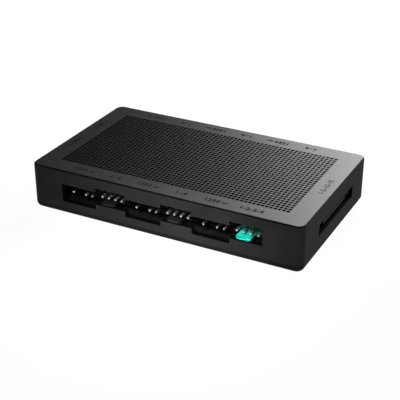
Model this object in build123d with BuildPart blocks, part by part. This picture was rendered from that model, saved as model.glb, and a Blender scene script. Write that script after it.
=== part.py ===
from build123d import *
import os

# Hub that shares fan and light signals out to many small plugs.
# Millimetres, +X along the case, +Y to the rear, +Z up, origin in the middle of the underside.

# Case
CASE_LENGTH = 102.5
CASE_WIDTH = 59.7
CASE_HEIGHT = 17.0
CORNER_RADIUS = 2.8
TOP_EDGE_CHAMFER = 0.45
BASE_EDGE_RADIUS = 2.0
WALL = 2.2
ROOF = 2.0
BASE_THICKNESS = 2.4
INNER_CORNER_LEAST = 0.3

# Field of the roof: long grooves, one for each column of pits
FIELD_BORDER = 7.5
FIELD_PITCH = 1.5
PIT_SIZE = 1.15
PIT_DEPTH = 1.2

# Posts that take the case screws
POST_INSET = 5.3
POST_RADIUS = 2.6
POST_RIB = 1.0
POST_RIB_DROP = 3.0

# Lip of the base plate inside the walls
LIP = 1.0
LIP_HEIGHT = 1.6
LIP_GAP = 0.15
LIP_END = 12.0

# Circuit board on two cross ribs of the base plate
REST_HEIGHT = 2.8
REST_WIDTH = 4.6
REST_LENGTH = 28.0
BOARD_THICKNESS = 1.6
BOARD_SETBACK = 7.6
BOARD_SCREW_INSET = 7.6

# Pins of all headers
PIN_PITCH = 2.54
PIN_SIZE = 0.64
PIN_POINT = 0.16
PIN_FREE = 5.95
PIN_TAIL_BELOW = 1.2
TAIL_BEHIND = 0.9
TAIL_HOLE_GAP = 0.06
BEND_CHAMFER = 0.5

# Ports along the front and the rear, a light port and a fan port in each pair
PORT_PAIRS = 3
PORT_PITCH = 12.7

# Fan port: four pins over a lock tab
FAN_WAYS = 4
FAN_PIN_RISE = 3.1
FAN_TIP_DEPTH = 1.0
FAN_BODY_THICKNESS = 3.2
FAN_BODY_ABOVE_PIN = 1.7
FAN_BODY_CHAMFER = 0.3
FAN_SILL_GAP = 0.05
FAN_WINDOW_ABOVE = 3.2
TAB_WIDTH = 5.1
TAB_OFFSET = -1.5
TAB_RISE = 0.25
TAB_THICKNESS = 0.75
TAB_TIP_DEPTH = 0.6
TAB_CORNER = 0.7
TAB_EDGE = 0.3

# Light port: three pins on four places, the second one left out
LIGHT_WAYS = 4
LIGHT_EMPTY_WAY = 1
LIGHT_PIN_RISE = 1.5
LIGHT_TIP_DEPTH = 2.26
LIGHT_BODY_THICKNESS = 2.54
LIGHT_BODY_HEIGHT = 2.8
LIGHT_BODY_NOTCH = 0.3
LIGHT_WINDOW_WIDTH = 13.7
LIGHT_WINDOW_BELOW = 3.3
LIGHT_WINDOW_ABOVE = 3.35

# Input ports on the left side
LIGHT_INPUT_Y = 9.9
FAN_INPUT_Y = -7.2

# Power plug on the right side
POWER_Y = 0.45
POWER_SLOT_WIDTH = 32.1
POWER_SLOT_BELOW = 1.7
POWER_SLOT_ABOVE = 1.37
PLUG_WIDTH = 30.4
PLUG_FACE_DEPTH = 6.2
PLUG_THICKNESS = 5.3
PLUG_HEIGHT = 4.2
TONGUE_LENGTH = 20.6
TONGUE_THICKNESS = 1.28
TONGUE_RISE = 1.75
TONGUE_DEPTH = 0.65
TONGUE_CHAMFER = 0.2
LEG_WIDTH = 1.2
LEG_HEIGHT = 1.1
GUIDE_SPACING = 26.6
GUIDE_WIDTH = 2.0
GUIDE_HEIGHT = 2.4
GUIDE_RISE = 1.2
GUIDE_DEPTH = 1.0
GUIDE_CHAMFER = 0.5
CONTACT_COUNT = 15
CONTACT_PITCH = 1.27
CONTACT_WIDTH = 0.84
CONTACT_THICKNESS = 0.2
CONTACT_TIP_BACK = 0.6
CONTACT_BEHIND = 0.5
CONTACT_FOOT = 1.2

# Case screws from below
CASE_SCREW_LENGTH = 8.0
CASE_SCREW_RADIUS = 1.2
CASE_SCREW_HEAD_RADIUS = 2.1
CASE_SCREW_SUNK = 0.2

# Board screws from above
BOARD_SCREW_LENGTH = 4.0
BOARD_SCREW_RADIUS = 0.95
BOARD_SCREW_HEAD_RADIUS = 1.9
BOARD_SCREW_HEAD = 1.3

# Fits shared by both kinds of screw
THREAD_GAP = 0.03
CLEARANCE_GAP = 0.2
PILOT_END_GAP = 0.5
SINK_GAP = 0.02
SINK_ANGLE = 45
CROSS_LENGTH = 2.0
CROSS_WIDTH = 0.5
CROSS_DEPTH = 0.7

# Bar magnets in the underside
MAGNET_INSET = 22.0
MAGNET_WIDTH = 10.0
MAGNET_LENGTH = 30.0
MAGNET_THICKNESS = 1.4
MAGNET_SUNK = 0.1
MAGNET_GAP = 0.05
MAGNET_CHAMFER = 0.2

# Parts on the board
CAN_RADIUS = 3.15
CAN_HEIGHT = 5.4
CAN_FOOT_SIDE = 6.6
CAN_FOOT_HEIGHT = 0.8
CAN_FOOT_CHAMFER = 1.2
CAN_EDGE = 0.4
CAN_X = 26.0
CAN_SPACING = 11.0
CHIP_HEIGHT = 0.9
CHIP_CHAMFER = 0.1
LIGHT_CHIP_SIDE = 5.0
LIGHT_CHIP_X = -16.0
LIGHT_CHIP_Y = 4.0
FAN_CHIP_SIDE = 4.0
FAN_CHIP_X = 4.0
FAN_CHIP_Y = -5.0

# Sizes that follow from the ones above
CAVITY_LENGTH = CASE_LENGTH - 2 * WALL
CAVITY_WIDTH = CASE_WIDTH - 2 * WALL
CAVITY_HEIGHT = CASE_HEIGHT - ROOF - BASE_THICKNESS
INNER_CORNER = max(CORNER_RADIUS - WALL, INNER_CORNER_LEAST)
FIELD_COLUMNS = int((CASE_LENGTH - 2 * FIELD_BORDER - PIT_SIZE) / FIELD_PITCH) + 1
FIELD_ROWS = int((CASE_WIDTH - 2 * FIELD_BORDER - PIT_SIZE) / FIELD_PITCH) + 1
GROOVE_LENGTH = (FIELD_ROWS - 1) * FIELD_PITCH + PIT_SIZE
POST_SPAN_X = CASE_LENGTH - 2 * POST_INSET
POST_SPAN_Y = CASE_WIDTH - 2 * POST_INSET
BOARD_LENGTH = CASE_LENGTH - 2 * BOARD_SETBACK
BOARD_WIDTH = CASE_WIDTH - 2 * BOARD_SETBACK
BOARD_BOTTOM = BASE_THICKNESS + REST_HEIGHT
BOARD_TOP = BOARD_BOTTOM + BOARD_THICKNESS
BOARD_SCREW_SPAN = BOARD_LENGTH - 2 * BOARD_SCREW_INSET
MAGNET_SPAN = CASE_LENGTH - 2 * MAGNET_INSET
TAIL_HOLE = PIN_SIZE + 2 * TAIL_HOLE_GAP
FAN_WIDTH = FAN_WAYS * PIN_PITCH
FAN_PIN_Z = BOARD_TOP + FAN_PIN_RISE
FAN_FACE_DEPTH = FAN_TIP_DEPTH + PIN_FREE
FAN_TAIL_DEPTH = FAN_FACE_DEPTH + FAN_BODY_THICKNESS + TAIL_BEHIND
FAN_WINDOW_WIDTH = 2 * PORT_PITCH - LIGHT_WINDOW_WIDTH
FAN_SILL = BOARD_TOP + TAB_RISE - FAN_SILL_GAP
LIGHT_WIDTH = LIGHT_WAYS * PIN_PITCH
LIGHT_PIN_Z = BOARD_TOP + LIGHT_PIN_RISE
LIGHT_FACE_DEPTH = LIGHT_TIP_DEPTH + PIN_FREE
LIGHT_TAIL_DEPTH = LIGHT_FACE_DEPTH + LIGHT_BODY_THICKNESS + TAIL_BEHIND
TONGUE_BOTTOM = BOARD_TOP + TONGUE_RISE
POWER_SLOT_BOTTOM = TONGUE_BOTTOM - POWER_SLOT_BELOW
POWER_SLOT_HEIGHT = POWER_SLOT_BELOW + TONGUE_THICKNESS + POWER_SLOT_ABOVE
CASE_SCREW_HEAD = CASE_SCREW_HEAD_RADIUS - CASE_SCREW_RADIUS
CASE_SCREW_SEAT = CASE_SCREW_SUNK + CASE_SCREW_HEAD
CASE_SCREW_SINK_RADIUS = CASE_SCREW_HEAD_RADIUS + CASE_SCREW_SUNK + SINK_GAP

FAN_PLACES = [(way - (FAN_WAYS - 1) / 2) * PIN_PITCH for way in range(FAN_WAYS)]
LIGHT_PLACES = [
    (way - (LIGHT_WAYS - 1) / 2) * PIN_PITCH
    for way in range(LIGHT_WAYS)
    if way != LIGHT_EMPTY_WAY
]
CONTACT_PLACES = [
    (way - (CONTACT_COUNT - 1) / 2) * CONTACT_PITCH + LEG_WIDTH / 2 for way in range(CONTACT_COUNT)
]


def wall_plane(x, y, right):
    """Plane on an outer wall at floor level: x to the right seen from outside, y inwards, z up."""
    return Plane(origin=(x, y, 0), x_dir=right, z_dir=(0, 0, 1))


def seen_plane(port, depth=0.0):
    """Plane behind a wall's face, seen from outside: x to the right, y up, normal outwards."""
    return Plane(origin=port.from_local_coords((0, depth, 0)), x_dir=port.x_dir, z_dir=-port.y_dir)


def section_plane(port, across):
    """Plane that cuts a port at a place along its wall: x inwards, y up."""
    return Plane(origin=port.from_local_coords((across, 0, 0)), x_dir=port.y_dir, z_dir=port.x_dir)


# Port planes, from left to right in plan; the rear ports are the front ones turned half round
LIGHT_XS = [(2 * pair - PORT_PAIRS + 0.5) * PORT_PITCH for pair in range(PORT_PAIRS)]
FAN_XS = [x + PORT_PITCH for x in LIGHT_XS]
light_front = [wall_plane(x, -CASE_WIDTH / 2, (1, 0, 0)) for x in LIGHT_XS]
light_rear = [wall_plane(x, CASE_WIDTH / 2, (-1, 0, 0)) for x in LIGHT_XS]
fan_front = [wall_plane(x, -CASE_WIDTH / 2, (1, 0, 0)) for x in FAN_XS]
fan_rear = [wall_plane(x, CASE_WIDTH / 2, (-1, 0, 0)) for x in FAN_XS]
light_input = wall_plane(-CASE_LENGTH / 2, LIGHT_INPUT_Y, (0, -1, 0))
fan_input = wall_plane(-CASE_LENGTH / 2, FAN_INPUT_Y, (0, -1, 0))
power_port = wall_plane(CASE_LENGTH / 2, POWER_Y, (0, 1, 0))
light_ports = light_front + light_rear + [light_input]
fan_ports = fan_front + fan_rear + [fan_input]

os.makedirs("parts", exist_ok=True)


def write(builder, name):
    """Label a finished piece and write it as its own file."""
    builder.part.label = name
    export_step(builder.part, f"parts/{name}.step")


# Top cover: one moulded shell, open below, with its posts, windows and grooved roof
with BuildPart() as top_cover:
    with BuildSketch(Plane.XY.offset(BASE_THICKNESS)):
        RectangleRounded(CASE_LENGTH, CASE_WIDTH, CORNER_RADIUS)
    extrude(amount=CASE_HEIGHT - BASE_THICKNESS)
    chamfer(top_cover.edges().group_by(Axis.Z)[-1], TOP_EDGE_CHAMFER)
    with BuildSketch(Plane.XY.offset(BASE_THICKNESS)):
        RectangleRounded(CAVITY_LENGTH, CAVITY_WIDTH, INNER_CORNER)
    extrude(amount=CAVITY_HEIGHT, mode=Mode.SUBTRACT)

    with BuildSketch(Plane.XY.offset(BASE_THICKNESS)):
        with GridLocations(POST_SPAN_X, POST_SPAN_Y, 2, 2):
            Circle(POST_RADIUS)
    extrude(amount=CAVITY_HEIGHT)
    with BuildSketch(Plane.XY.offset(BASE_THICKNESS + POST_RIB_DROP)):
        with GridLocations((POST_SPAN_X + CAVITY_LENGTH) / 2, POST_SPAN_Y, 2, 2):
            Rectangle((CAVITY_LENGTH - POST_SPAN_X) / 2, POST_RIB)
        with GridLocations(POST_SPAN_X, (POST_SPAN_Y + CAVITY_WIDTH) / 2, 2, 2):
            Rectangle(POST_RIB, (CAVITY_WIDTH - POST_SPAN_Y) / 2)
    extrude(amount=CAVITY_HEIGHT - POST_RIB_DROP)
    with BuildSketch(Plane.XY.offset(BASE_THICKNESS)):
        with GridLocations(POST_SPAN_X, POST_SPAN_Y, 2, 2):
            Circle(CASE_SCREW_RADIUS + THREAD_GAP)
    extrude(amount=CASE_SCREW_LENGTH + CASE_SCREW_SEAT - BASE_THICKNESS + PILOT_END_GAP, mode=Mode.SUBTRACT)

    for port in light_ports:
        with BuildSketch(seen_plane(port)):
            with Locations((0, LIGHT_PIN_Z - LIGHT_WINDOW_BELOW)):
                Rectangle(
                    LIGHT_WINDOW_WIDTH,
                    LIGHT_WINDOW_BELOW + LIGHT_WINDOW_ABOVE,
                    align=(Align.CENTER, Align.MIN),
                )
        extrude(amount=-WALL, mode=Mode.SUBTRACT)
    for port in fan_ports:
        with BuildSketch(seen_plane(port)):
            with Locations((0, FAN_SILL)):
                Rectangle(
                    FAN_WINDOW_WIDTH,
                    FAN_PIN_Z + FAN_WINDOW_ABOVE - FAN_SILL,
                    align=(Align.CENTER, Align.MIN),
                )
        extrude(amount=-WALL, mode=Mode.SUBTRACT)
    with BuildSketch(seen_plane(power_port)):
        with Locations((0, POWER_SLOT_BOTTOM)):
            Rectangle(POWER_SLOT_WIDTH, POWER_SLOT_HEIGHT, align=(Align.CENTER, Align.MIN))
    extrude(amount=-WALL, mode=Mode.SUBTRACT)

    with BuildSketch(Plane.XY.offset(CASE_HEIGHT)):
        with GridLocations(FIELD_PITCH, 0, FIELD_COLUMNS, 1):
            Rectangle(PIT_SIZE, GROOVE_LENGTH)
    extrude(amount=-PIT_DEPTH, mode=Mode.SUBTRACT)
write(top_cover, "top_cover")


# Base plate: rounded lower edge, lips inside the walls, ribs for the board, screw holes, magnet pockets
underside = Plane(origin=(0, 0, 0), x_dir=(1, 0, 0), z_dir=(0, 0, -1))
with BuildPart() as base_plate:
    with BuildSketch():
        RectangleRounded(CASE_LENGTH, CASE_WIDTH, CORNER_RADIUS)
    extrude(amount=BASE_THICKNESS)
    fillet(base_plate.edges().group_by(Axis.Z)[0], BASE_EDGE_RADIUS)

    with BuildSketch(Plane.XY.offset(BASE_THICKNESS)):
        with GridLocations(1, CAVITY_WIDTH - 2 * LIP_GAP - LIP, 1, 2):
            Rectangle(CASE_LENGTH - 2 * LIP_END, LIP)
        with GridLocations(CAVITY_LENGTH - 2 * LIP_GAP - LIP, 1, 2, 1):
            Rectangle(LIP, CASE_WIDTH - 2 * LIP_END)
    extrude(amount=LIP_HEIGHT)

    with BuildSketch(Plane.XY.offset(BASE_THICKNESS)):
        with GridLocations(BOARD_SCREW_SPAN, 1, 2, 1):
            Rectangle(REST_WIDTH, REST_LENGTH)
    extrude(amount=REST_HEIGHT)
    with BuildSketch(Plane.XY.offset(BOARD_BOTTOM)):
        with GridLocations(BOARD_SCREW_SPAN, 1, 2, 1):
            Circle(BOARD_SCREW_RADIUS + THREAD_GAP)
    extrude(amount=BOARD_THICKNESS - BOARD_SCREW_LENGTH - THREAD_GAP, mode=Mode.SUBTRACT)

    with Locations(underside):
        with GridLocations(POST_SPAN_X, POST_SPAN_Y, 2, 2):
            CounterSinkHole(
                CASE_SCREW_RADIUS + CLEARANCE_GAP,
                CASE_SCREW_SINK_RADIUS,
                counter_sink_angle=2 * SINK_ANGLE,
            )
    with BuildSketch():
        with GridLocations(MAGNET_SPAN, 1, 2, 1):
            Rectangle(MAGNET_WIDTH + 2 * MAGNET_GAP, MAGNET_LENGTH + 2 * MAGNET_GAP)
    extrude(amount=MAGNET_SUNK + MAGNET_THICKNESS, mode=Mode.SUBTRACT)
write(base_plate, "base_plate")


# Circuit board: drilled for the pins' tails and for its screws
with BuildPart() as circuit_board:
    with BuildSketch(Plane.XY.offset(BOARD_BOTTOM)):
        Rectangle(BOARD_LENGTH, BOARD_WIDTH)
        with GridLocations(BOARD_SCREW_SPAN, 1, 2, 1):
            Circle(BOARD_SCREW_RADIUS + CLEARANCE_GAP, mode=Mode.SUBTRACT)
    extrude(amount=BOARD_THICKNESS)
    for port in light_ports:
        with BuildSketch(port.offset(BOARD_BOTTOM)):
            with Locations(*[(place, LIGHT_TAIL_DEPTH) for place in LIGHT_PLACES]):
                Rectangle(TAIL_HOLE, TAIL_HOLE)
    for port in fan_ports:
        with BuildSketch(port.offset(BOARD_BOTTOM)):
            with Locations(*[(place, FAN_TAIL_DEPTH) for place in FAN_PLACES]):
                Rectangle(TAIL_HOLE, TAIL_HOLE)
    extrude(amount=BOARD_THICKNESS, mode=Mode.SUBTRACT)
write(circuit_board, "circuit_board")


def fan_header(port, name):
    """Block on the board with square holes for the pins and a lock tab that runs out below them."""
    with BuildPart() as header:
        with BuildSketch(port.offset(BOARD_TOP)):
            with Locations((0, FAN_FACE_DEPTH)):
                Rectangle(FAN_WIDTH, FAN_BODY_THICKNESS, align=(Align.CENTER, Align.MIN))
        extrude(amount=FAN_PIN_RISE + FAN_BODY_ABOVE_PIN)
        chamfer(header.edges().group_by(Axis.Z)[-1], FAN_BODY_CHAMFER)
        with BuildSketch(port.offset(BOARD_TOP + TAB_RISE)) as tab:
            with Locations((TAB_OFFSET, TAB_TIP_DEPTH)):
                Rectangle(
                    TAB_WIDTH, FAN_FACE_DEPTH - TAB_TIP_DEPTH, align=(Align.CENTER, Align.MIN)
                )
            chamfer(tab.vertices().group_by(Axis.Y)[0], TAB_CORNER)
        extrude(amount=TAB_THICKNESS)
        inwards = Axis(port.origin, port.y_dir)
        tab_rim = header.edges().filter_by_position(inwards, 0, TAB_TIP_DEPTH + TAB_CORNER)
        chamfer(tab_rim.group_by(Axis.Z)[-1], TAB_EDGE)
        with BuildSketch(seen_plane(port, FAN_FACE_DEPTH)):
            with Locations(*[(place, FAN_PIN_Z) for place in FAN_PLACES]):
                Rectangle(PIN_SIZE, PIN_SIZE)
        extrude(amount=-FAN_BODY_THICKNESS, mode=Mode.SUBTRACT)
    write(header, name)


def light_header(port, name):
    """Notched strip on the board with square holes for the pins that it has."""
    with BuildPart() as header:
        with BuildSketch(seen_plane(port, LIGHT_FACE_DEPTH)):
            with Locations((0, BOARD_TOP)):
                Rectangle(LIGHT_WIDTH, LIGHT_BODY_HEIGHT, align=(Align.CENTER, Align.MIN))
            with Locations((0, BOARD_TOP + LIGHT_BODY_HEIGHT)):
                with GridLocations(PIN_PITCH, 1, LIGHT_WAYS - 1, 1):
                    Rectangle(
                        LIGHT_BODY_NOTCH * 2**0.5,
                        LIGHT_BODY_NOTCH * 2**0.5,
                        rotation=45,
                        mode=Mode.SUBTRACT,
                    )
            with Locations(*[(place, LIGHT_PIN_Z) for place in LIGHT_PLACES]):
                Rectangle(PIN_SIZE, PIN_SIZE, mode=Mode.SUBTRACT)
        extrude(amount=-LIGHT_BODY_THICKNESS)
    write(header, name)


def pin_row(port, places, tip_depth, tail_depth, pin_z, name):
    """Square pins that run inwards through a header, bend down and pass through the board."""
    half = PIN_SIZE / 2
    tail_end = BOARD_BOTTOM - PIN_TAIL_BELOW
    with BuildPart() as pins:
        for place in places:
            with BuildSketch(section_plane(port, place - half)) as bent_wire:
                with BuildLine():
                    Polyline(
                        (tip_depth, pin_z - half),
                        (tail_depth - half, pin_z - half),
                        (tail_depth - half, tail_end),
                        (tail_depth + half, tail_end),
                        (tail_depth + half, pin_z + half),
                        (tip_depth, pin_z + half),
                        close=True,
                    )
                make_face()
                chamfer(bent_wire.vertices().group_by(Axis.X)[-1].sort_by(Axis.Y)[-1], BEND_CHAMFER)
            extrude(amount=PIN_SIZE)
        inwards = Axis(port.origin, port.y_dir)
        tips = pins.faces().sort_by(inwards)[: len(places)]
        chamfer(tips.edges(), PIN_POINT)
    write(pins, name)


# Headers and pins of the ports on the front, the rear and the left side
for side, light_row, fan_row in (("front", light_front, fan_front), ("rear", light_rear, fan_rear)):
    for number, (light_port, fan_port) in enumerate(zip(light_row, fan_row), start=1):
        light_header(light_port, f"light_header_{side}_{number}")
        pin_row(
            light_port,
            LIGHT_PLACES,
            LIGHT_TIP_DEPTH,
            LIGHT_TAIL_DEPTH,
            LIGHT_PIN_Z,
            f"light_pins_{side}_{number}",
        )
        fan_header(fan_port, f"fan_header_{side}_{number}")
        pin_row(
            fan_port,
            FAN_PLACES,
            FAN_TIP_DEPTH,
            FAN_TAIL_DEPTH,
            FAN_PIN_Z,
            f"fan_pins_{side}_{number}",
        )
light_header(light_input, "light_input_header")
pin_row(
    light_input, LIGHT_PLACES, LIGHT_TIP_DEPTH, LIGHT_TAIL_DEPTH, LIGHT_PIN_Z, "light_input_pins"
)
fan_header(fan_input, "fan_input_header")
pin_row(fan_input, FAN_PLACES, FAN_TIP_DEPTH, FAN_TAIL_DEPTH, FAN_PIN_Z, "fan_input_pins")


# Power plug: block on the board, L-shaped tongue and a guide post at each end
with BuildPart() as power_plug:
    with BuildSketch(seen_plane(power_port, PLUG_FACE_DEPTH)):
        with Locations((0, BOARD_TOP)):
            Rectangle(PLUG_WIDTH, PLUG_HEIGHT, align=(Align.CENTER, Align.MIN))
    extrude(amount=-PLUG_THICKNESS)
    with BuildSketch(seen_plane(power_port, TONGUE_DEPTH)):
        with Locations((0, TONGUE_BOTTOM)):
            Rectangle(TONGUE_LENGTH, TONGUE_THICKNESS, align=(Align.CENTER, Align.MIN))
        with Locations((-TONGUE_LENGTH / 2, TONGUE_BOTTOM)):
            Rectangle(LEG_WIDTH, TONGUE_THICKNESS + LEG_HEIGHT, align=(Align.MIN, Align.MIN))
    extrude(amount=TONGUE_DEPTH - PLUG_FACE_DEPTH)
    plug_inwards = Axis(power_port.origin, power_port.y_dir)
    chamfer(power_plug.faces().sort_by(plug_inwards)[0].edges(), TONGUE_CHAMFER)
    with BuildSketch(seen_plane(power_port, GUIDE_DEPTH)):
        with Locations((0, BOARD_TOP + GUIDE_RISE + GUIDE_HEIGHT / 2)):
            with GridLocations(GUIDE_SPACING, 1, 2, 1):
                Rectangle(GUIDE_WIDTH, GUIDE_HEIGHT)
    extrude(amount=GUIDE_DEPTH - PLUG_FACE_DEPTH)
    guide_ends = power_plug.faces(Select.LAST).sort_by(plug_inwards)[:2]
    chamfer(guide_ends.edges(), GUIDE_CHAMFER)
    with BuildSketch(seen_plane(power_port, PLUG_FACE_DEPTH)):
        with Locations(*[(place, TONGUE_BOTTOM) for place in CONTACT_PLACES]):
            Rectangle(CONTACT_WIDTH, CONTACT_THICKNESS, align=(Align.CENTER, Align.MAX))
    extrude(amount=-PLUG_THICKNESS, mode=Mode.SUBTRACT)
write(power_plug, "power_plug")


# Power contacts: flat strips under the tongue that pass through the block to feet on the board
with BuildPart() as power_contacts:
    contact_tip = TONGUE_DEPTH + CONTACT_TIP_BACK
    contact_drop = PLUG_FACE_DEPTH + PLUG_THICKNESS + CONTACT_BEHIND
    for place in CONTACT_PLACES:
        with BuildSketch(section_plane(power_port, place - CONTACT_WIDTH / 2)):
            with BuildLine():
                Polyline(
                    (contact_tip, TONGUE_BOTTOM - CONTACT_THICKNESS),
                    (contact_drop, TONGUE_BOTTOM - CONTACT_THICKNESS),
                    (contact_drop, BOARD_TOP),
                    (contact_drop + CONTACT_FOOT, BOARD_TOP),
                    (contact_drop + CONTACT_FOOT, BOARD_TOP + CONTACT_THICKNESS),
                    (contact_drop + CONTACT_THICKNESS, BOARD_TOP + CONTACT_THICKNESS),
                    (contact_drop + CONTACT_THICKNESS, TONGUE_BOTTOM),
                    (contact_tip, TONGUE_BOTTOM),
                    close=True,
                )
            make_face()
        extrude(amount=CONTACT_WIDTH)
write(power_contacts, "power_contacts")


# Bulk capacitors: two cans on plastic feet beside the power plug
with BuildPart() as bulk_capacitors:
    with BuildSketch(Plane.XY.offset(BOARD_TOP)) as can_foot:
        with Locations((CAN_X, 0)):
            with GridLocations(1, CAN_SPACING, 1, 2):
                Rectangle(CAN_FOOT_SIDE, CAN_FOOT_SIDE)
        chamfer(can_foot.vertices().group_by(Axis.X)[-1], CAN_FOOT_CHAMFER)
    extrude(amount=CAN_FOOT_HEIGHT)
    with BuildSketch(Plane.XY.offset(BOARD_TOP + CAN_FOOT_HEIGHT)):
        with Locations((CAN_X, 0)):
            with GridLocations(1, CAN_SPACING, 1, 2):
                Circle(CAN_RADIUS)
    extrude(amount=CAN_HEIGHT)
    chamfer(bulk_capacitors.edges().group_by(Axis.Z)[-1], CAN_EDGE)
write(bulk_capacitors, "bulk_capacitors")


def leadless_chip(side, x, y, name):
    """Flat square chip soldered by its underside."""
    with BuildPart() as chip:
        with BuildSketch(Plane.XY.offset(BOARD_TOP)):
            with Locations((x, y)):
                Rectangle(side, side)
        extrude(amount=CHIP_HEIGHT)
        chamfer(chip.edges().group_by(Axis.Z)[-1], CHIP_CHAMFER)
    write(chip, name)


leadless_chip(LIGHT_CHIP_SIDE, LIGHT_CHIP_X, LIGHT_CHIP_Y, "light_buffer_chip")
leadless_chip(FAN_CHIP_SIDE, FAN_CHIP_X, FAN_CHIP_Y, "fan_buffer_chip")


def screws(seat, places, radius, length, head_radius, head, head_taper, name):
    """Screws at the places of a grid: seat is a plane under the heads, its normal along the shanks."""
    with BuildPart() as fasteners:
        with BuildSketch(seat.offset(-head)):
            with places:
                Circle(head_radius)
        extrude(amount=head, taper=head_taper)
        with BuildSketch(seat):
            with places:
                Circle(radius)
        extrude(amount=length)
        with BuildSketch(seat.offset(-head)):
            with places:
                Rectangle(CROSS_LENGTH, CROSS_WIDTH)
                Rectangle(CROSS_WIDTH, CROSS_LENGTH)
        extrude(amount=CROSS_DEPTH, mode=Mode.SUBTRACT)
    write(fasteners, name)


# Case screws with sunk heads from below, board screws with flat heads from above
screws(
    Plane.XY.offset(CASE_SCREW_SEAT),
    GridLocations(POST_SPAN_X, POST_SPAN_Y, 2, 2),
    CASE_SCREW_RADIUS,
    CASE_SCREW_LENGTH,
    CASE_SCREW_HEAD_RADIUS,
    CASE_SCREW_HEAD,
    SINK_ANGLE,
    "case_screws",
)
screws(
    Plane(origin=(0, 0, BOARD_TOP), x_dir=(1, 0, 0), z_dir=(0, 0, -1)),
    GridLocations(BOARD_SCREW_SPAN, 1, 2, 1),
    BOARD_SCREW_RADIUS,
    BOARD_SCREW_LENGTH,
    BOARD_SCREW_HEAD_RADIUS,
    BOARD_SCREW_HEAD,
    0,
    "board_screws",
)


# Mount magnets: bars glued into the pockets of the underside
with BuildPart() as mount_magnets:
    with BuildSketch(Plane.XY.offset(MAGNET_SUNK)):
        with GridLocations(MAGNET_SPAN, 1, 2, 1):
            Rectangle(MAGNET_WIDTH, MAGNET_LENGTH)
    extrude(amount=MAGNET_THICKNESS)
    chamfer(mount_magnets.edges().group_by(Axis.Z)[0], MAGNET_CHAMFER)
write(mount_magnets, "mount_magnets")
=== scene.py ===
import math

import bmesh
import bpy
from mathutils import Matrix, Vector


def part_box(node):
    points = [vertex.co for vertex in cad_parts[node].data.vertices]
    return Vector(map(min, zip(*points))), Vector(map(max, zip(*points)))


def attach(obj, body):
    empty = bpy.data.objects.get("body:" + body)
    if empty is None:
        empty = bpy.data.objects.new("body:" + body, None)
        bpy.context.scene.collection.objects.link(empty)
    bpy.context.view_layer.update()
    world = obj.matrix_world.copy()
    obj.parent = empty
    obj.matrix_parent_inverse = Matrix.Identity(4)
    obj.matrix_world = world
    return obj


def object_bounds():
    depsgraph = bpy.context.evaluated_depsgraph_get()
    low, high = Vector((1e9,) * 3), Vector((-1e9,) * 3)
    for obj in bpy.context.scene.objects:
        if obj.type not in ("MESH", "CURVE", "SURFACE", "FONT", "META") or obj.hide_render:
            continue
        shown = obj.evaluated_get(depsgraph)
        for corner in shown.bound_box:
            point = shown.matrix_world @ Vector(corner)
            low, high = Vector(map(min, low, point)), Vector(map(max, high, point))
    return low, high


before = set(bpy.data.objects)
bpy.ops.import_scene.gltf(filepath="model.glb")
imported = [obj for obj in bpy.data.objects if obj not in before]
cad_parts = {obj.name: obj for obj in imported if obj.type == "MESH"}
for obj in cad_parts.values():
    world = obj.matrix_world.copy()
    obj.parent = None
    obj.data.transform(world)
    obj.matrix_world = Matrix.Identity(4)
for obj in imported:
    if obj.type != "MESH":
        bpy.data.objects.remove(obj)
cad_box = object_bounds()

# Base plate: the lower half of the shell, moulded in black plastic with a fine sparked grain.
# It carries the board on two ribs and closes against the cover, so only its rounded edge shows.
MM = 0.001
CLOUD_DETAIL = 3
TONE_SPAN = (0.12, 0.42)
GLOSS_SPAN = (0.3, 0.7)
GRAIN_STRENGTH = 0.4


def feed(tree, socket, given):
    """Link a socket to an input, or set a plain value on it."""
    if isinstance(given, bpy.types.NodeSocket):
        tree.links.new(given, socket)
    else:
        socket.default_value = given


def object_place(tree):
    """Object coordinates."""
    return tree.nodes.new("ShaderNodeTexCoord").outputs["Object"]


def noise(tree, place, scale, detail):
    """Noise on given coordinates."""
    texture = tree.nodes.new("ShaderNodeTexNoise")
    feed(tree, texture.inputs["Vector"], place)
    feed(tree, texture.inputs["Scale"], scale)
    feed(tree, texture.inputs["Detail"], detail)
    return texture.outputs["Fac"]


def maths(tree, operation, *given):
    """Math node on sockets or plain numbers."""
    node = tree.nodes.new("ShaderNodeMath")
    node.operation = operation
    for socket, value in zip(node.inputs, given):
        feed(tree, socket, value)
    return node.outputs["Value"]


def map_range(tree, value, span, result):
    """Value carried from one span to another."""
    node = tree.nodes.new("ShaderNodeMapRange")
    names = ("Value", "From Min", "From Max", "To Min", "To Max")
    for name, given in zip(names, (value, *span, *result)):
        feed(tree, node.inputs[name], given)
    return node.outputs["Result"]


def mix_colours(tree, share, first, second):
    """Blend of two colours: a share of 0 gives the first one, 1 the second one."""
    node = tree.nodes.new("ShaderNodeMix")
    node.data_type = "RGBA"
    inputs = {socket.identifier: socket for socket in node.inputs}
    feed(tree, inputs["Factor_Float"], share)
    feed(tree, inputs["A_Color"], first)
    feed(tree, inputs["B_Color"], second)
    return next(socket for socket in node.outputs if socket.identifier == "Result_Color")


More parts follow.
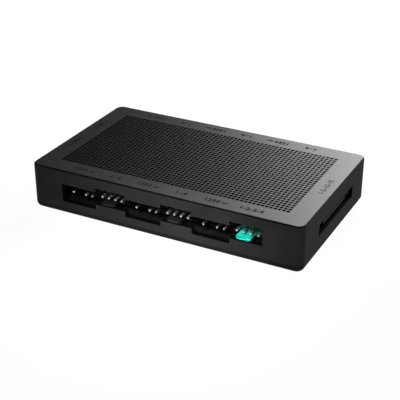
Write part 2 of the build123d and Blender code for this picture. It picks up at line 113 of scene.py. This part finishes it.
def surface_group(name, grain_detail, stretch, cloud_scale):
    """Node group that varies a colour and a roughness by a fine grain and a slow cloud."""
    group = bpy.data.node_groups.new(name, "ShaderNodeTree")
    inputs = {"Dark": "Color", "Light": "Color", "Smooth": "Float", "Rough": "Float", "Grain": "Float"}
    outputs = {"Color": "Color", "Roughness": "Float", "Height": "Float"}
    for direction, sockets in (("INPUT", inputs), ("OUTPUT", outputs)):
        for socket, kind in sockets.items():
            group.interface.new_socket(socket, in_out=direction, socket_type="NodeSocket" + kind)
    given = group.nodes.new("NodeGroupInput").outputs
    result = group.nodes.new("NodeGroupOutput").inputs
    place = object_place(group)
    mapping = group.nodes.new("ShaderNodeMapping")
    feed(group, mapping.inputs["Vector"], place)
    feed(group, mapping.inputs["Scale"], stretch)
    fine = noise(group, mapping.outputs["Vector"], given["Grain"], grain_detail)
    cloud = noise(group, place, cloud_scale, CLOUD_DETAIL)
    tone = map_range(group, maths(group, "MULTIPLY", fine, cloud), TONE_SPAN, (0, 1))
    gloss = map_range(group, fine, GLOSS_SPAN, (given["Smooth"], given["Rough"]))
    feed(group, result["Color"], mix_colours(group, tone, given["Dark"], given["Light"]))
    feed(group, result["Roughness"], gloss)
    feed(group, result["Height"], fine)
    return group


def new_finish(name, specular, metallic=0.0):
    """Node material with the plain values of its Principled shader set."""
    material = bpy.data.materials.new(name)
    material.use_nodes = True
    shader = material.node_tree.nodes["Principled BSDF"]
    shader.inputs["Specular IOR Level"].default_value = specular
    shader.inputs["Metallic"].default_value = metallic
    return material, material.node_tree, shader


def use_group(tree, group, dark, light, smooth, rough, grain):
    """Surface group with a finish's own values, as its outputs."""
    surface = tree.nodes.new("ShaderNodeGroup")
    surface.node_tree = group
    surface.inputs["Dark"].default_value = (*dark, 1)
    surface.inputs["Light"].default_value = (*light, 1)
    surface.inputs["Smooth"].default_value = smooth
    surface.inputs["Rough"].default_value = rough
    surface.inputs["Grain"].default_value = grain
    return surface.outputs


def raise_bump(tree, shader, height, strength, distance):
    """Small relief of a finish."""
    bump = tree.nodes.new("ShaderNodeBump")
    bump.inputs["Strength"].default_value = strength
    bump.inputs["Distance"].default_value = distance
    tree.links.new(height, bump.inputs["Height"])
    tree.links.new(bump.outputs["Normal"], shader.inputs["Normal"])


def surfaced(name, group, dark, light, smooth, rough, grain, relief, specular=0.5, metallic=0.0):
    """Finish whose colour, roughness and relief all come from one surface group."""
    material, tree, shader = new_finish(name, specular, metallic)
    surface = use_group(tree, group, dark, light, smooth, rough, grain)
    tree.links.new(surface["Color"], shader.inputs["Base Color"])
    tree.links.new(surface["Roughness"], shader.inputs["Roughness"])
    raise_bump(tree, shader, surface["Height"], GRAIN_STRENGTH, relief)
    return material


def dress(node, material):
    """Give a CAD node its finish."""
    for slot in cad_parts[node].material_slots:
        slot.material = material


moulded_grain = surface_group("moulded_grain", grain_detail=4, stretch=(1, 1, 1), cloud_scale=90)
# Painted shade: the base's colour is darker than the cover's, standing in for the shade near the floor.
base_shaded_black = surfaced(
    "base_shaded_black",
    moulded_grain,
    dark=(0.004, 0.004, 0.004),
    light=(0.008, 0.008, 0.008),
    smooth=0.72,
    rough=0.84,
    grain=5200,
    relief=0.004 * MM,
    specular=0.12,
)
dress("base_plate", base_shaded_black)

# Mount magnets: two ground bars with a bright nickel skin, glued flush into the underside.
# They hold the hub to a steel panel.
ground_streaks = surface_group("ground_streaks", grain_detail=3, stretch=(1, 14, 1), cloud_scale=60)
magnet_nickel = surfaced(
    "magnet_nickel",
    ground_streaks,
    dark=(0.55, 0.54, 0.51),
    light=(0.74, 0.73, 0.70),
    smooth=0.18,
    rough=0.34,
    grain=420,
    relief=0.003 * MM,
    metallic=1.0,
)
dress("mount_magnets", magnet_nickel)

# Circuit board: glass laminate under black solder mask, with its copper tracks faintly raised.
# Two screws hold it to the ribs of the base plate.
TRACK_SCALE = 260
TRACK_LEVEL = 0.72
TRACK_RISE = 0.03 * MM
TRACK_STRENGTH = 0.5
PATCH_SCALE = 140
PATCH_LEVEL = 0.5
MASK_DARK = (0.004, 0.005, 0.0045, 1)
MASK_LIGHT = (0.010, 0.012, 0.011, 1)
MASK_GLOSS = (0.30, 0.42)
board_mask, board_tree, board_shader = new_finish("board_mask", specular=0.4)
board_place = object_place(board_tree)
patch = noise(board_tree, board_place, PATCH_SCALE, detail=0)
patch_side = maths(board_tree, "GREATER_THAN", patch, PATCH_LEVEL)
track = board_tree.nodes.new("ShaderNodeMix")
track_inputs = {socket.identifier: socket for socket in track.inputs}
board_tree.links.new(patch_side, track_inputs["Factor_Float"])
for direction, socket in (("X", "A_Float"), ("Y", "B_Float")):
    band = board_tree.nodes.new("ShaderNodeTexWave")
    band.bands_direction = direction
    band.inputs["Scale"].default_value = TRACK_SCALE
    band.inputs["Distortion"].default_value = 0.0
    board_tree.links.new(board_place, band.inputs["Vector"])
    line = maths(board_tree, "GREATER_THAN", band.outputs["Fac"], TRACK_LEVEL)
    board_tree.links.new(line, track_inputs[socket])
track_height = next(socket for socket in track.outputs if socket.identifier == "Result_Float")
mask_colour = mix_colours(board_tree, track_height, MASK_DARK, MASK_LIGHT)
board_tree.links.new(mask_colour, board_shader.inputs["Base Color"])
board_tree.links.new(map_range(board_tree, patch, (0, 1), MASK_GLOSS), board_shader.inputs["Roughness"])
raise_bump(board_tree, board_shader, track_height, TRACK_STRENGTH, TRACK_RISE)
dress("circuit_board", board_mask)

# Buffer chips: flat leadless packages of black moulded epoxy with a dull, fine-grained top.
# They are soldered to the board by pads on their undersides.
chip_epoxy = surfaced(
    "chip_epoxy",
    moulded_grain,
    dark=(0.016, 0.016, 0.017),
    light=(0.032, 0.032, 0.033),
    smooth=0.48,
    rough=0.62,
    grain=3000,
    relief=0.008 * MM,
    specular=0.35,
)
for chip in ("light_buffer_chip", "fan_buffer_chip"):
    dress(chip, chip_epoxy)

# Bulk capacitors: drawn aluminium cans on black plastic feet, soldered beside the power plug.
# A black field on the lid marks the negative side.
CAN_FOOT = 0.8 * MM
CAN_MARK_SHARE = 0.72
CAN_BLACK = (0.014, 0.014, 0.015, 1)
can_low, can_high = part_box("bulk_capacitors")
can_aluminium, can_tree, can_shader = new_finish("can_aluminium", specular=0.5)
can_surface = use_group(
    can_tree,
    ground_streaks,
    dark=(0.60, 0.60, 0.62),
    light=(0.78, 0.78, 0.79),
    smooth=0.25,
    rough=0.38,
    grain=900,
)


def split_axes(tree, vector):
    """The X, Y and Z of a vector."""
    node = tree.nodes.new("ShaderNodeSeparateXYZ")
    tree.links.new(vector, node.inputs["Vector"])
    return node.outputs["X"], node.outputs["Y"], node.outputs["Z"]


can_x, _, can_z = split_axes(can_tree, object_place(can_tree))
can_mark_x = can_low.x + CAN_MARK_SHARE * (can_high.x - can_low.x)
above_foot = maths(can_tree, "GREATER_THAN", can_z, can_low.z + CAN_FOOT)
clear_of_mark = maths(can_tree, "LESS_THAN", can_x, can_mark_x)
bare_metal = maths(can_tree, "MULTIPLY", above_foot, clear_of_mark)
can_colour = mix_colours(can_tree, bare_metal, CAN_BLACK, can_surface["Color"])
can_tree.links.new(can_colour, can_shader.inputs["Base Color"])
can_tree.links.new(bare_metal, can_shader.inputs["Metallic"])
can_tree.links.new(can_surface["Roughness"], can_shader.inputs["Roughness"])
dress("bulk_capacitors", can_aluminium)

# Light and fan headers: right-angle connector blocks of black nylon, soldered to the board.
# The last fan header in front is moulded in turquoise, to tell its port from the others.
SIDES = ("front", "rear")
PAIRS = (1, 2, 3)
header_black = surfaced(
    "header_black",
    moulded_grain,
    dark=(0.004, 0.004, 0.004),
    light=(0.008, 0.008, 0.008),
    smooth=0.26,
    rough=0.36,
    grain=3600,
    relief=0.004 * MM,
    specular=0.6,
)
header_turquoise = surfaced(
    "header_turquoise",
    moulded_grain,
    dark=(0.006, 0.35, 0.275),
    light=(0.012, 0.43, 0.34),
    smooth=0.28,
    rough=0.40,
    grain=3600,
    relief=0.004 * MM,
)


def dress_ports(kind, material):
    """Give one kind of port piece, headers or pins, its finish on every side."""
    for function in ("light", "fan"):
        for side in SIDES:
            for pair in PAIRS:
                dress(f"{function}_{kind}_{side}_{pair}", material)
        dress(f"{function}_input_{kind}", material)


dress_ports("header", header_black)
dress("fan_header_front_3", header_turquoise)

# Pins: square drawn wire with a bright tin skin, pressed through the headers.
# Behind them they are bent down into the board's holes and soldered.
pin_tin = surfaced(
    "pin_tin",
    ground_streaks,
    dark=(0.80, 0.80, 0.79),
    light=(0.95, 0.95, 0.94),
    smooth=0.22,
    rough=0.36,
    grain=1500,
    relief=0.003 * MM,
    metallic=0.95,
)
dress_ports("pins", pin_tin)

# Power plug: a glass-filled black nylon block with an L-shaped tongue and two guide posts.
# It is moulded in one piece and seats on the board behind the slot in the right wall.
plug_nylon = surfaced(
    "plug_nylon",
    moulded_grain,
    dark=(0.003, 0.003, 0.003),
    light=(0.006, 0.006, 0.006),
    smooth=0.46,
    rough=0.60,
    grain=2600,
    relief=0.006 * MM,
    specular=0.08,
)
dress("power_plug", plug_nylon)

# Power contacts: fifteen strips stamped from sheet, with a thin gold skin.
# They lie under the plug's tongue and are soldered to the board by their feet.
contact_gold = surfaced(
    "contact_gold",
    ground_streaks,
    dark=(0.72, 0.50, 0.20),
    light=(0.88, 0.66, 0.30),
    smooth=0.18,
    rough=0.30,
    grain=1400,
    relief=0.003 * MM,
    metallic=1.0,
)
dress("power_contacts", contact_gold)

# Screws: cold-headed steel with a black zinc skin, in two sets.
# The board screws go in from above, and the countersunk case screws from below.
screw_zinc = surfaced(
    "screw_zinc",
    ground_streaks,
    dark=(0.05, 0.05, 0.055),
    light=(0.11, 0.11, 0.115),
    smooth=0.25,
    rough=0.42,
    grain=2200,
    relief=0.004 * MM,
    metallic=1.0,
)
for screws in ("board_screws", "case_screws"):
    dress(screws, screw_zinc)

# Top cover: the shell's upper half, one moulding in black plastic with a fine sparked grain.
# The roof is satin; the walls of the stepped windows and grooves are dull and painted black as shade.
# The case screws hold it by four posts.
CORNER_RADIUS = 2.8 * MM
SKIN_DEPTH = 0.03 * MM
EDGE_REACH = 0.5 * MM
ROOF_REACH = 0.46 * MM
FIELD_PITCH = 1.5 * MM
FIELD_COLUMNS = 58
FIELD_ROWS = 30
FIELD_HALF = (FIELD_COLUMNS * FIELD_PITCH / 2, FIELD_ROWS * FIELD_PITCH / 2, 0)
# Painted shade: the pitted field takes less of the grain colour than the border, and inner faces are
# near black.
FIELD_PAINTED_SHADE_SHARE = 0.45
BORDER_SHARE_OVER_SHADE = 0.55
ROOF_SMOOTHING = -0.36
INNER_DULLING = 0.4
PAINTED_SHADE_BLACK = (0.001, 0.001, 0.001, 1)
PLAN_ONLY = (1, 1, 0)
cover_low, cover_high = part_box("top_cover")
case_black = surfaced(
    "case_black",
    moulded_grain,
    dark=(0.008, 0.008, 0.008),
    light=(0.015, 0.015, 0.015),
    smooth=0.72,
    rough=0.84,
    grain=5200,
    relief=0.004 * MM,
    specular=0.18,
)
case_tree = case_black.node_tree
case_shader = case_tree.nodes["Principled BSDF"]


def vectors(tree, operation, *given):
    """Vector node on sockets or plain vectors."""
    node = tree.nodes.new("ShaderNodeVectorMath")
    node.operation = operation
    for socket, value in zip(node.inputs, given):
        feed(tree, socket, value)
    return node.outputs["Value" if operation == "LENGTH" else "Vector"]


case_folded = vectors(case_tree, "ABSOLUTE", object_place(case_tree))
case_middle = (cover_high.x - CORNER_RADIUS, cover_high.y - CORNER_RADIUS, cover_high.z)
case_reach = vectors(case_tree, "SUBTRACT", case_folded, case_middle)
case_rise = split_axes(case_tree, case_reach)[2]
case_corner = vectors(case_tree, "MAXIMUM", case_reach, (0, 0, 0))
case_run = vectors(case_tree, "LENGTH", vectors(case_tree, "MULTIPLY", case_corner, PLAN_ONLY))
case_side = maths(case_tree, "SUBTRACT", case_run, CORNER_RADIUS)
case_depth = maths(case_tree, "MAXIMUM", case_side, case_rise)
case_skin = maths(case_tree, "GREATER_THAN", case_depth, -SKIN_DEPTH)
case_slope = maths(case_tree, "ADD", case_side, case_rise)
case_edge = maths(case_tree, "GREATER_THAN", case_slope, -EDGE_REACH)
case_outer = maths(case_tree, "MAXIMUM", case_skin, case_edge)
case_top = maths(case_tree, "GREATER_THAN", case_rise, -ROOF_REACH)
case_roof = maths(case_tree, "MULTIPLY", case_outer, case_top)
case_inner = maths(case_tree, "SUBTRACT", 1.0, case_outer)

# Painted shade: the pitted field of the roof is coloured darker than its border.
case_past = vectors(case_tree, "SUBTRACT", case_folded, FIELD_HALF)
case_past_x, case_past_y, _ = split_axes(case_tree, case_past)
case_past_field = maths(case_tree, "MAXIMUM", case_past_x, case_past_y)
case_border = maths(case_tree, "GREATER_THAN", case_past_field, 0.0)
case_field_shade = maths(case_tree, "MULTIPLY_ADD", case_border, BORDER_SHARE_OVER_SHADE, FIELD_PAINTED_SHADE_SHARE)
case_unshaded_share = maths(case_tree, "MULTIPLY", case_skin, case_field_shade)
# Painted shade: faces below the skin, in the recesses and the middle of the top edge's chamfer, are
# near black.
case_grain_colour = case_shader.inputs["Base Color"].links[0].from_socket
case_colour_with_painted_shade = mix_colours(case_tree, case_unshaded_share, PAINTED_SHADE_BLACK, case_grain_colour)
case_tree.links.new(case_colour_with_painted_shade, case_shader.inputs["Base Color"])

case_grain = case_shader.inputs["Roughness"].links[0].from_socket
case_satin = maths(case_tree, "MULTIPLY_ADD", case_roof, ROOF_SMOOTHING, case_grain)
case_gloss = maths(case_tree, "MULTIPLY_ADD", case_inner, INNER_DULLING, case_satin)
case_tree.links.new(case_gloss, case_shader.inputs["Roughness"])
dress("top_cover", case_black)

# Cross ribs of the roof: short bars of the cover's own black plastic.
# They are moulded across its grooves, which they part into square pits.
PIT_WIDTH = 1.15 * MM
PIT_LENGTH = 1.05 * MM
PIT_DEPTH = 1.2 * MM


def add_piece(name, mesh, material):
    """Link a finished mesh as a piece that rides on the hub and takes a slot's finish."""
    mesh.materials.append(material)
    piece = bpy.data.objects.new(name, mesh)
    bpy.context.scene.collection.objects.link(piece)
    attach(piece, "root")


rib_size = Matrix.Diagonal((PIT_WIDTH, FIELD_PITCH - PIT_LENGTH, PIT_DEPTH, 1))
rib_height = cover_high.z - PIT_DEPTH / 2
rib_shape = bmesh.new()
for column in range(FIELD_COLUMNS):
    x = (column - (FIELD_COLUMNS - 1) / 2) * FIELD_PITCH
    for row in range(FIELD_ROWS - 1):
        y = (row - (FIELD_ROWS - 2) / 2) * FIELD_PITCH
        rib_place = Matrix.Translation((x, y, rib_height))
        bmesh.ops.create_cube(rib_shape, size=1, matrix=rib_place @ rib_size)
rib_mesh = bpy.data.meshes.new("roof_cross_ribs")
rib_shape.to_mesh(rib_mesh)
rib_shape.free()
add_piece("roof_cross_ribs", rib_mesh, case_black)

# Port marks: pin numbers in matt black ink, pad printed on the roof's border beside each port.
# A chevron shows which way a light plug goes in.
INK_THICKNESS = 0.01 * MM
INK_WELD = INK_THICKNESS / 100
DIGIT_SIZE = 2.6 * MM
DIGIT_BOLD = 0.12 * MM
DIGIT_FINE = 0.04 * MM
DIGIT_CURVE_STEPS = 3
CLOSE_SPACING = 1.0
PLAIN_SPACING = 1.1
WIDE_SPACING = 1.35
CHEVRON_WIDTH = 2.1 * MM
CHEVRON_HEIGHT = 0.75 * MM
CHEVRON_STROKE = 0.75 * MM
LIGHT_DIGITS_SHIFT = -1.4 * MM
CHEVRON_SHIFT = 3.3 * MM
PORT_PITCH = 12.7 * MM
FIRST_LIGHT_X = -2.5 * PORT_PITCH
MARK_INSET = 3.9 * MM
SIDE_MARK_INSET = 3.8 * MM
LIGHT_INPUT_Y = 9.9 * MM
FAN_INPUT_Y = -7.2 * MM
POWER_MARK_Y = 0.0
QUARTER_TURN = math.pi / 2
marks = bmesh.new()


def print_digits(text, spacing, place, swell=DIGIT_BOLD):
    """Numbers as thin raised ink, centred on the place's origin."""
    curve = bpy.data.curves.new("digits", "FONT")
    curve.body = text
    curve.size = DIGIT_SIZE
    curve.space_character = spacing
    curve.align_x = "CENTER"
    curve.align_y = "CENTER"
    curve.extrude = INK_THICKNESS / 2
    curve.offset = swell
    curve.resolution_u = DIGIT_CURVE_STEPS
    holder = bpy.data.objects.new("digits", curve)
    mesh = bpy.data.meshes.new_from_object(holder)
    mesh.transform(place)
    marks.from_mesh(mesh)
    bpy.data.objects.remove(holder)
    bpy.data.curves.remove(curve)
    bpy.data.meshes.remove(mesh)


def print_chevron(place):
    """Open arrow that points to the port, as thin raised ink."""
    half = CHEVRON_WIDTH / 2
    outline = (
        (-half, 0),
        (0, -CHEVRON_HEIGHT),
        (half, 0),
        (half, CHEVRON_STROKE),
        (0, CHEVRON_STROKE - CHEVRON_HEIGHT),
        (-half, CHEVRON_STROKE),
    )
    corners = [marks.verts.new(place @ Vector((x, y, -INK_THICKNESS / 2))) for x, y in outline]
    face = marks.faces.new(corners)
    raised = bmesh.ops.extrude_face_region(marks, geom=[face])["geom"]
    bmesh.ops.translate(
        marks,
        verts=[item for item in raised if isinstance(item, bmesh.types.BMVert)],
        vec=(0, 0, INK_THICKNESS),
    )


def mark_place(x, y, turn):
    """Place of a mark on the roof, turned about the vertical."""
    spot = Matrix.Translation((x, y, cover_high.z + INK_THICKNESS / 2))
    return spot @ Matrix.Rotation(turn, 4, "Z")


def light_mark(place):
    """Numbers of a light port's four places, with the chevron beside them."""
    digits_place = place @ Matrix.Translation((LIGHT_DIGITS_SHIFT, 0, 0))
    print_digits("1234", PLAIN_SPACING, digits_place)
    print_chevron(place @ Matrix.Translation((CHEVRON_SHIFT, 0, 0)))


front_y = cover_low.y + MARK_INSET
rear_y = cover_high.y - MARK_INSET
for side, y, turn in (("front", front_y, 0), ("rear", rear_y, 2 * QUARTER_TURN)):
    for pair in PAIRS:
        light_x = FIRST_LIGHT_X + 2 * (pair - 1) * PORT_PITCH
        light_mark(mark_place(light_x, y, turn))
        fan_place = mark_place(light_x + PORT_PITCH, y, turn)
        if side == "front" and pair == PAIRS[-1]:
            print_digits("1-2-3-4", PLAIN_SPACING, fan_place)
        else:
            print_digits("1-4", WIDE_SPACING, fan_place)
left_x = cover_low.x + SIDE_MARK_INSET
right_x = cover_high.x - SIDE_MARK_INSET
light_mark(mark_place(left_x, LIGHT_INPUT_Y, QUARTER_TURN))
print_digits("1-2-3-4", CLOSE_SPACING, mark_place(left_x, FAN_INPUT_Y, QUARTER_TURN))
power_place = mark_place(right_x, POWER_MARK_Y, QUARTER_TURN)
print_digits("1-5-10-15", PLAIN_SPACING, power_place, DIGIT_FINE)
bmesh.ops.remove_doubles(marks, verts=marks.verts, dist=INK_WELD)
bmesh.ops.recalc_face_normals(marks, faces=marks.faces)
mark_mesh = bpy.data.meshes.new("port_marks")
marks.to_mesh(mark_mesh)
marks.free()
mark_ink = surfaced(
    "mark_ink",
    moulded_grain,
    dark=(0.003, 0.003, 0.003),
    light=(0.006, 0.006, 0.006),
    smooth=0.75,
    rough=0.9,
    grain=4200,
    relief=0.002 * MM,
    specular=0.05,
)
add_piece("port_marks", mark_mesh, mark_ink)

# Studio floor: a wide sheet of pale matt paper, laid flat under the hub.
# It reads as white and still takes the hub's soft shadow.
FLOOR_SIDE = 6.0
FLOOR_GLOW = 0.95
FLOOR_DROP = 0.02 * MM
FLOOR_PALE = (0.9, 0.9, 0.9, 1)
floor_shape = bmesh.new()
bmesh.ops.create_grid(floor_shape, x_segments=1, y_segments=1, size=FLOOR_SIDE / 2)
floor_mesh = bpy.data.meshes.new("studio_floor")
floor_shape.to_mesh(floor_mesh)
floor_shape.free()
floor_paper, floor_tree, floor_shader = new_finish("floor_paper", specular=0.0)
floor_shader.inputs["Base Color"].default_value = FLOOR_PALE
floor_shader.inputs["Roughness"].default_value = 1.0
floor_rays = floor_tree.nodes.new("ShaderNodeLightPath").outputs
floor_mirrored = maths(floor_tree, "MAXIMUM", floor_rays["Is Camera Ray"], floor_rays["Is Glossy Ray"])
floor_seen = maths(floor_tree, "MAXIMUM", floor_mirrored, floor_rays["Is Transmission Ray"])
floor_white = floor_tree.nodes.new("ShaderNodeEmission")
floor_mix = floor_tree.nodes.new("ShaderNodeMixShader")
floor_mix.inputs["Fac"].default_value = FLOOR_GLOW
floor_out = floor_tree.nodes["Material Output"]
floor_tree.links.new(floor_seen, floor_white.inputs["Strength"])
floor_tree.links.new(floor_shader.outputs["BSDF"], floor_mix.inputs[1])
floor_tree.links.new(floor_white.outputs["Emission"], floor_mix.inputs[2])
floor_tree.links.new(floor_mix.outputs["Shader"], floor_out.inputs["Surface"])
floor_mesh.materials.append(floor_paper)
floor = bpy.data.objects.new("studio_floor", floor_mesh)
floor.location.z = cad_box[0][2] - FLOOR_DROP
bpy.context.scene.collection.objects.link(floor)

# Studio light: a dim room, two softboxes behind that give the roof its sheen, and a lamp above.
# Two weak strips and a small softbox with a grid stand in front, to shape the wall and the pins.
ROOM_GREY = (0.05, 0.05, 0.05, 1)
HUB_MIDDLE = Vector((0, 0, 10 * MM))
FRONT_WALL = Vector((5 * MM, -32 * MM, 0))
GRID_SPREAD = math.radians(20)
world = bpy.data.worlds.new("studio_room")
bpy.context.scene.world = world
world.use_nodes = True
world.node_tree.nodes["Background"].inputs["Color"].default_value = ROOM_GREY


def softbox(name, azimuth, elevation, distance, width, height, power, aim=HUB_MIDDLE):
    """Rectangular lamp that faces a point of the hub: azimuth in degrees from +Y towards +X."""
    lamp = bpy.data.lights.new(name, "AREA")
    lamp.shape = "RECTANGLE"
    lamp.size = width
    lamp.size_y = height
    lamp.energy = power
    turn = math.radians(azimuth)
    rise = math.radians(elevation)
    level = math.cos(rise)
    away = Vector((math.sin(turn) * level, math.cos(turn) * level, math.sin(rise)))
    holder = bpy.data.objects.new(name, lamp)
    holder.location = aim + away * distance
    holder.rotation_euler = away.to_track_quat("Z", "Y").to_euler()
    bpy.context.scene.collection.objects.link(holder)
    return holder


softbox("rear_softbox", azimuth=10, elevation=33, distance=0.45, width=0.22, height=0.16, power=2.1)
softbox("rear_fill", azimuth=-5, elevation=31, distance=0.45, width=0.22, height=0.34, power=1.62)
for name, azimuth in (("front_right_strip", 135), ("front_left_strip", 225)):
    strip = softbox(name, azimuth, elevation=21, distance=0.6, width=0.7, height=0.25, power=0.3)
    strip.visible_diffuse = False
top_lamp = softbox(
    "top_lamp",
    azimuth=195,
    elevation=75,
    distance=0.45,
    width=0.36,
    height=0.24,
    power=0.4,
)
top_lamp.visible_glossy = False
front_grid = softbox(
    "front_grid",
    azimuth=160,
    elevation=42,
    distance=0.3,
    width=0.05,
    height=0.05,
    power=0.055,
    aim=FRONT_WALL,
)
front_grid.visible_glossy = False
front_grid.data.spread = GRID_SPREAD

# Camera: the photograph's view from the front right corner, a long lens from a little above.
# Its place and its shifts were fitted to the corners of the case in the photograph.
VIEW_AZIMUTH = math.radians(27.222)
VIEW_ELEVATION = math.radians(27.728)
VIEW_DISTANCE = 354.35 * MM
VIEW_CENTRE = Vector((0, 0, 8.5 * MM))
VIEW_RIGHT = -0.106 * MM
VIEW_UP = -7.08 * MM
FOCAL_LENGTH = 89.42
SENSOR_WIDTH = 36
LENS_SHIFT_X = 0.0007
LENS_SHIFT_Y = 0.0015
NEAREST_VIEW = 10 * MM
view_level = math.cos(VIEW_ELEVATION)
back = Vector(
    (
        math.sin(VIEW_AZIMUTH) * view_level,
        -math.cos(VIEW_AZIMUTH) * view_level,
        math.sin(VIEW_ELEVATION),
    )
)
right = Vector((math.cos(VIEW_AZIMUTH), math.sin(VIEW_AZIMUTH), 0))
up = back.cross(right)
lens = bpy.data.cameras.new("photo_camera")
lens.lens = FOCAL_LENGTH
lens.sensor_width = SENSOR_WIDTH
lens.shift_x = LENS_SHIFT_X
lens.shift_y = LENS_SHIFT_Y
lens.clip_start = NEAREST_VIEW
camera = bpy.data.objects.new("photo_camera", lens)
spot = VIEW_CENTRE + back * VIEW_DISTANCE + right * VIEW_RIGHT + up * VIEW_UP
camera.matrix_world = Matrix.Translation(spot) @ Matrix((right, up, back)).transposed().to_4x4()
bpy.context.scene.collection.objects.link(camera)
bpy.context.scene.camera = camera

bpy.context.scene.view_settings.view_transform = "Standard"
